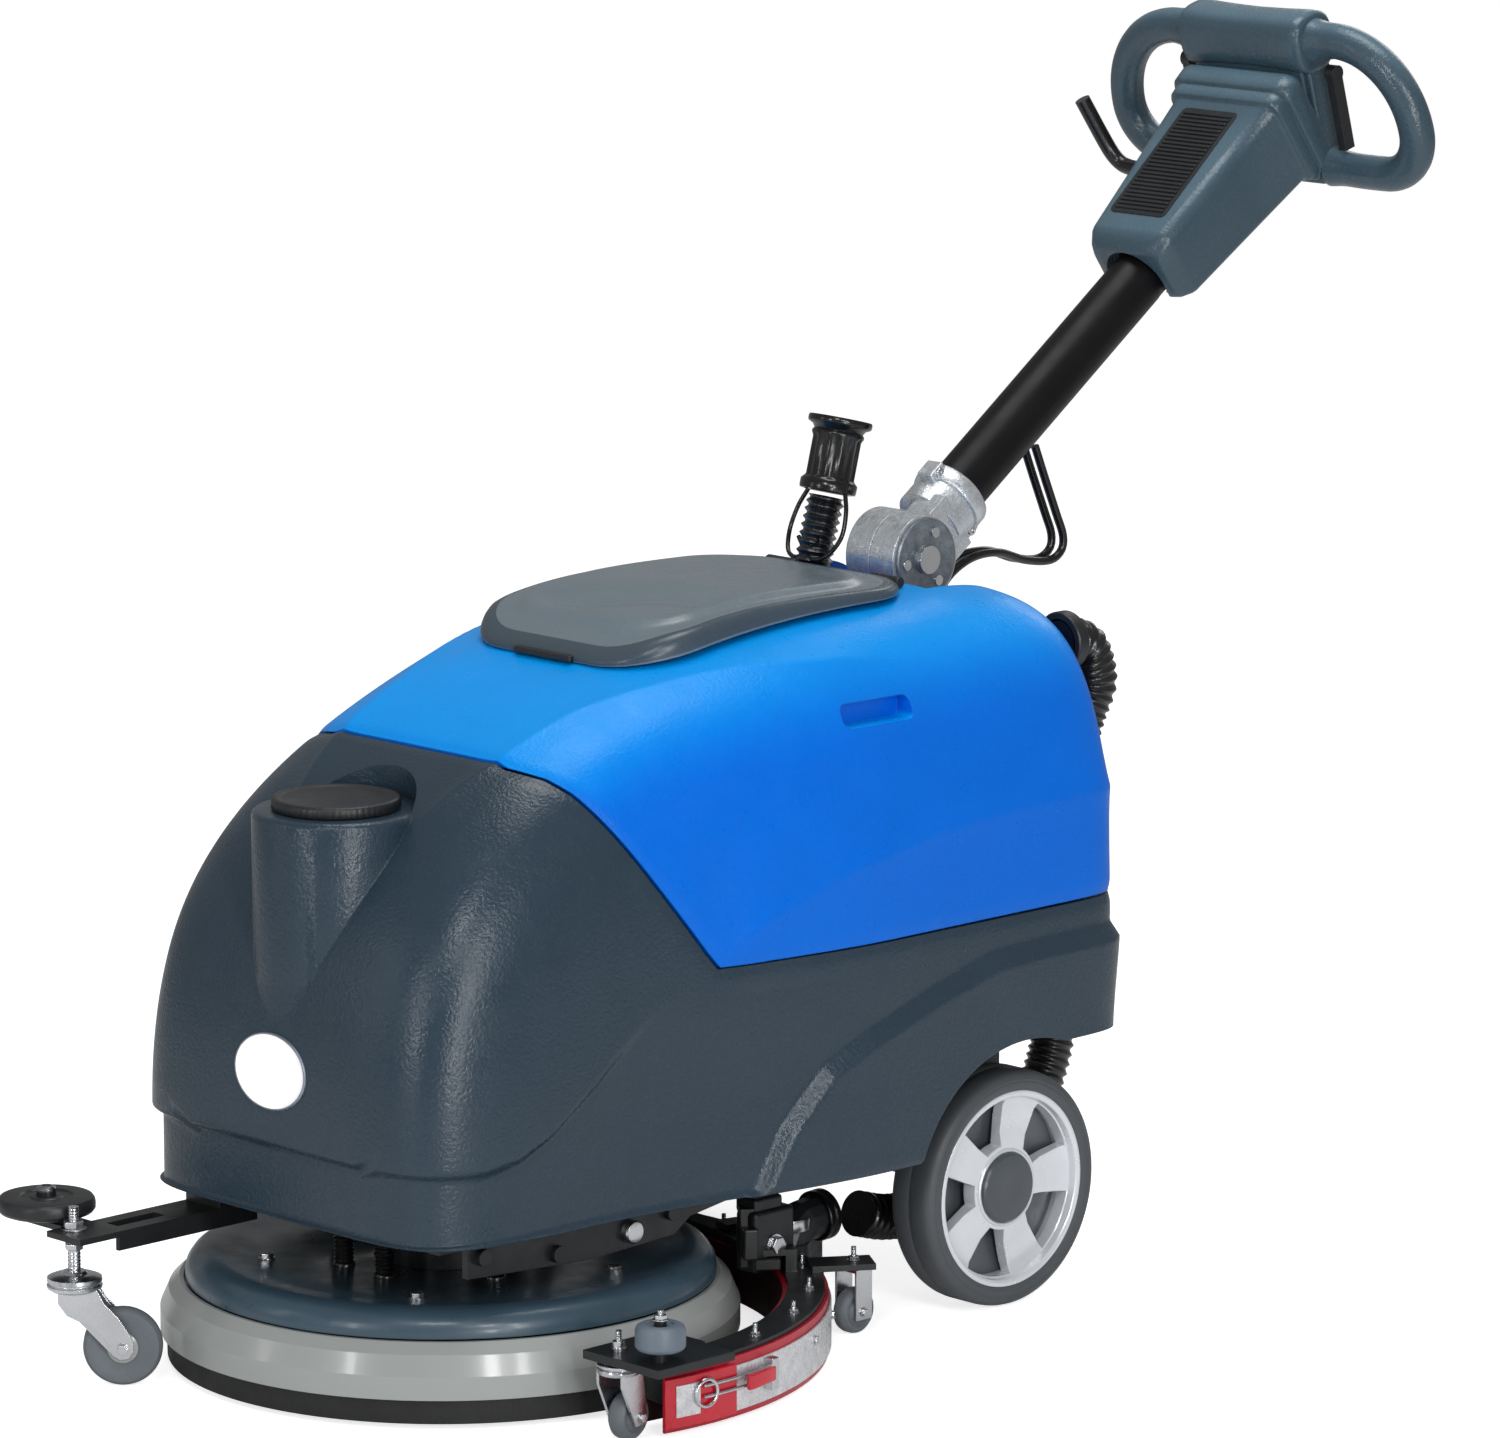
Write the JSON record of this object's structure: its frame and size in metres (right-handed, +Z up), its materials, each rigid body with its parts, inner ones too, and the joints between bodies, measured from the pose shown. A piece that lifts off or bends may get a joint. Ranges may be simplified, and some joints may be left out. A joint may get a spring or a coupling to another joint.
{
  "type": "walk-behind floor scrubber dryer",
  "caption": "Compact walk-behind floor scrubber-dryer with a rotary disc brush, crescent squeegee, two tanks and a tilting operator handle.",
  "frame": {"origin": "on the floor, under the middle of the plan outline", "axes": "+Z up, the machine's front faces -Y, its left side faces +X"},
  "size_m": [0.657, 1.3152, 1.0328],
  "materials": {
    "slate_plastic": "rotomoulded, fine pebble grain",
    "blue_plastic": "rotomoulded, satin",
    "grey_plastic": "moulded, fine grain",
    "black_plastic": "moulded black",
    "black_rubber": "black rubber",
    "tyre_rubber": "non-marking grey rubber",
    "silver_plastic": "silver lacquered",
    "black_steel": "black powder coat",
    "black_gloss": "gloss black paint",
    "cast_aluminium": "sand cast, uneven",
    "zinc_steel": "zinc plated",
    "steel": "bright turned steel",
    "ring_plastic": "light grey semi-gloss",
    "deck_paint": "blue-grey paint",
    "bristle": "grey nylon bristle",
    "red_blade": "red polyurethane",
    "red_plastic": "red moulded",
    "badge_white": "blank white badge",
    "roller_blue": "blue-grey polyurethane",
    "caster_grey": "grey polyurethane tread"
  },
  "bodies": {
    "chassis": {"chassis_frame": "black_steel", "rear_axle": "steel", "lower_tank": "slate_plastic", "recovery_tank": "blue_plastic", "battery_pack": "black_plastic", "knuckle_base": "cast_aluminium", "badge": "badge_white", "vacuum_motor": "cast_aluminium", "drain_hose": "black_rubber", "suction_hose": "black_rubber", "front_arm": "black_steel", "frame_bolts": "zinc_steel"},
    "wheel_left": {"tyre_left": "tyre_rubber", "rim_left": "silver_plastic", "hub_cap_left": "black_plastic"},
    "wheel_right": {"tyre_right": "tyre_rubber", "rim_right": "silver_plastic", "hub_cap_right": "black_plastic"},
    "handle": {"knuckle_yoke": "cast_aluminium", "knuckle_screws": "zinc_steel", "handle_tube": "black_gloss", "head_front": "slate_plastic", "head_rear": "slate_plastic", "vent_panel": "black_plastic", "handle_loops": "slate_plastic", "cable_hook": "black_steel", "control_cables": "black_rubber"},
    "lever_left": {"switch_lever_left": "black_plastic"},
    "lever_right": {"switch_lever_right": "black_plastic"},
    "key": {"key_switch": "zinc_steel"},
    "rocker": {"rocker_switch": "red_plastic"},
    "lid": {"tank_lid": "grey_plastic", "lid_seal": "black_rubber"},
    "cap": {"filler_cap": "black_plastic"},
    "plug": {"drain_plug": "black_plastic"},
    "deck": {"deck_plate": "deck_paint", "splash_ring": "ring_plastic", "deck_skirt": "black_rubber", "gearmotor": "black_steel"},
    "brush": {"brush_block": "black_plastic", "brush_bristles": "bristle", "clutch_plate": "zinc_steel"},
    "squeegee_mount": {"squeegee_carrier": "black_steel"},
    "squeegee": {"squeegee_body": "black_plastic", "front_blade": "red_blade", "rear_blade": "red_blade", "blade_strap": "zinc_steel", "rear_forks": "zinc_steel"},
    "latch": {"strap_latch": "red_plastic"},
    "roller_front": {"front_roller": "black_plastic"},
    "roller_left": {"side_roller_left": "roller_blue"},
    "roller_right": {"side_roller_right": "roller_blue"},
    "fork_front": {"front_fork": "zinc_steel"},
    "caster_front": {"front_caster": "caster_grey"},
    "fork_left": {"left_fork": "zinc_steel"},
    "caster_left": {"left_caster": "caster_grey"},
    "fork_right": {"right_fork": "zinc_steel"},
    "caster_right": {"right_caster": "caster_grey"},
    "caster_rear_left": {"rear_caster_left": "caster_grey"},
    "caster_rear_right": {"rear_caster_right": "caster_grey"}
  },
  "joints": [
    {"name": "wheel_spin_left", "type": "hinge", "parent": "chassis", "child": "wheel_left", "pos_m": [0.17551, 0.08188, 0.1], "axis": [1, 0, 0], "continuous": true},
    {"name": "wheel_spin_right", "type": "hinge", "parent": "chassis", "child": "wheel_right", "pos_m": [-0.21849, 0.08188, 0.1], "axis": [1, 0, 0], "continuous": true},
    {"name": "handle_tilt", "type": "hinge", "parent": "chassis", "child": "handle", "pos_m": [-0.02149, 0.16889, 0.597], "axis": [1, 0, 0], "range_deg": [-15, 50]},
    {"name": "lever_squeeze_left", "type": "hinge", "parent": "handle", "child": "lever_left", "pos_m": [0.06351, 0.61406, 0.9787], "axis": [0, -0.9627, -0.2706], "range_deg": [0, 12]},
    {"name": "lever_squeeze_right", "type": "hinge", "parent": "handle", "child": "lever_right", "pos_m": [-0.10649, 0.61406, 0.9787], "axis": [0, 0.9627, 0.2706], "range_deg": [0, 12]},
    {"name": "key_turn", "type": "hinge", "parent": "handle", "child": "key", "pos_m": [0.01251, 0.63662, 0.95388], "axis": [0, 0.9627, 0.2706], "range_deg": [0, 90]},
    {"name": "rocker_tilt", "type": "hinge", "parent": "handle", "child": "rocker", "pos_m": [-0.05349, 0.63662, 0.95388], "axis": [1, 0, 0], "range_deg": [-6, 6]},
    {"name": "lid_hinge", "type": "hinge", "parent": "chassis", "child": "lid", "pos_m": [-0.02149, 0.08589, 0.589], "axis": [-1, 0, 0], "range_deg": [0, 80]},
    {"name": "cap_pull", "type": "slide", "parent": "chassis", "child": "cap", "axis": [0, 0, 1], "range_m": [0, 0.03]},
    {"name": "plug_pull", "type": "slide", "parent": "chassis", "child": "plug", "axis": [0, 0.2588, 0.9659], "range_m": [0, 0.04]},
    {"name": "deck_float", "type": "slide", "parent": "chassis", "child": "deck", "axis": [0, 0, 1], "range_m": [0, 0.018]},
    {"name": "brush_spin", "type": "hinge", "parent": "deck", "child": "brush", "pos_m": [-0.02149, -0.34812, 0.05], "axis": [0, 0, 1], "continuous": true},
    {"name": "squeegee_lift", "type": "slide", "parent": "chassis", "child": "squeegee_mount", "axis": [0, 0, 1], "range_m": [0, 0.02]},
    {"name": "squeegee_swing", "type": "hinge", "parent": "squeegee_mount", "child": "squeegee", "pos_m": [-0.02149, -0.34812, 0.05], "axis": [0, 0, 1], "range_deg": [-2, 30]},
    {"name": "latch_release", "type": "hinge", "parent": "squeegee", "child": "latch", "pos_m": [0.28584, -0.28279, 0.03], "axis": [0, 0, 1], "range_deg": [0, 75]},
    {"name": "roller_spin_front", "type": "hinge", "parent": "chassis", "child": "roller_front", "pos_m": [-0.20649, -0.61811, 0.136], "axis": [0, 0, 1], "continuous": true},
    {"name": "roller_spin_left", "type": "hinge", "parent": "squeegee", "child": "roller_left", "pos_m": [0.30851, -0.42512, 0.092], "axis": [0, 0, 1], "continuous": true},
    {"name": "roller_spin_right", "type": "hinge", "parent": "squeegee", "child": "roller_right", "pos_m": [-0.29952, -0.1544, 0.092], "axis": [0, 0, 1], "continuous": true},
    {"name": "swivel_front", "type": "hinge", "parent": "chassis", "child": "fork_front", "pos_m": [-0.15749, -0.63011, 0.07], "axis": [0, 0, 1], "continuous": true},
    {"name": "caster_spin_front", "type": "hinge", "parent": "fork_front", "child": "caster_front", "pos_m": [-0.13206, -0.60188, 0.032], "axis": [-0.7431, 0.6691, 0], "continuous": true},
    {"name": "swivel_left", "type": "hinge", "parent": "squeegee", "child": "fork_left", "pos_m": [0.26651, -0.43012, 0.07], "axis": [0, 0, 1], "continuous": true},
    {"name": "caster_spin_left", "type": "hinge", "parent": "fork_left", "child": "caster_left", "pos_m": [0.26443, -0.4183, 0.019], "axis": [-0.9848, -0.1736, 0], "continuous": true},
    {"name": "swivel_right", "type": "hinge", "parent": "squeegee", "child": "fork_right", "pos_m": [-0.27514, -0.18896, 0.07], "axis": [0, 0, 1], "continuous": true},
    {"name": "caster_spin_right", "type": "hinge", "parent": "fork_right", "child": "caster_right", "pos_m": [-0.27722, -0.17714, 0.019], "axis": [-0.9848, -0.1736, 0], "continuous": true},
    {"name": "caster_spin_rear_left", "type": "hinge", "parent": "squeegee", "child": "caster_rear_left", "pos_m": [0.16528, -0.07122, 0.019], "axis": [1, 0, 0], "continuous": true},
    {"name": "caster_spin_rear_right", "type": "hinge", "parent": "squeegee", "child": "caster_rear_right", "pos_m": [0.05931, -0.02404, 0.019], "axis": [1, 0, 0], "continuous": true}
  ]
}
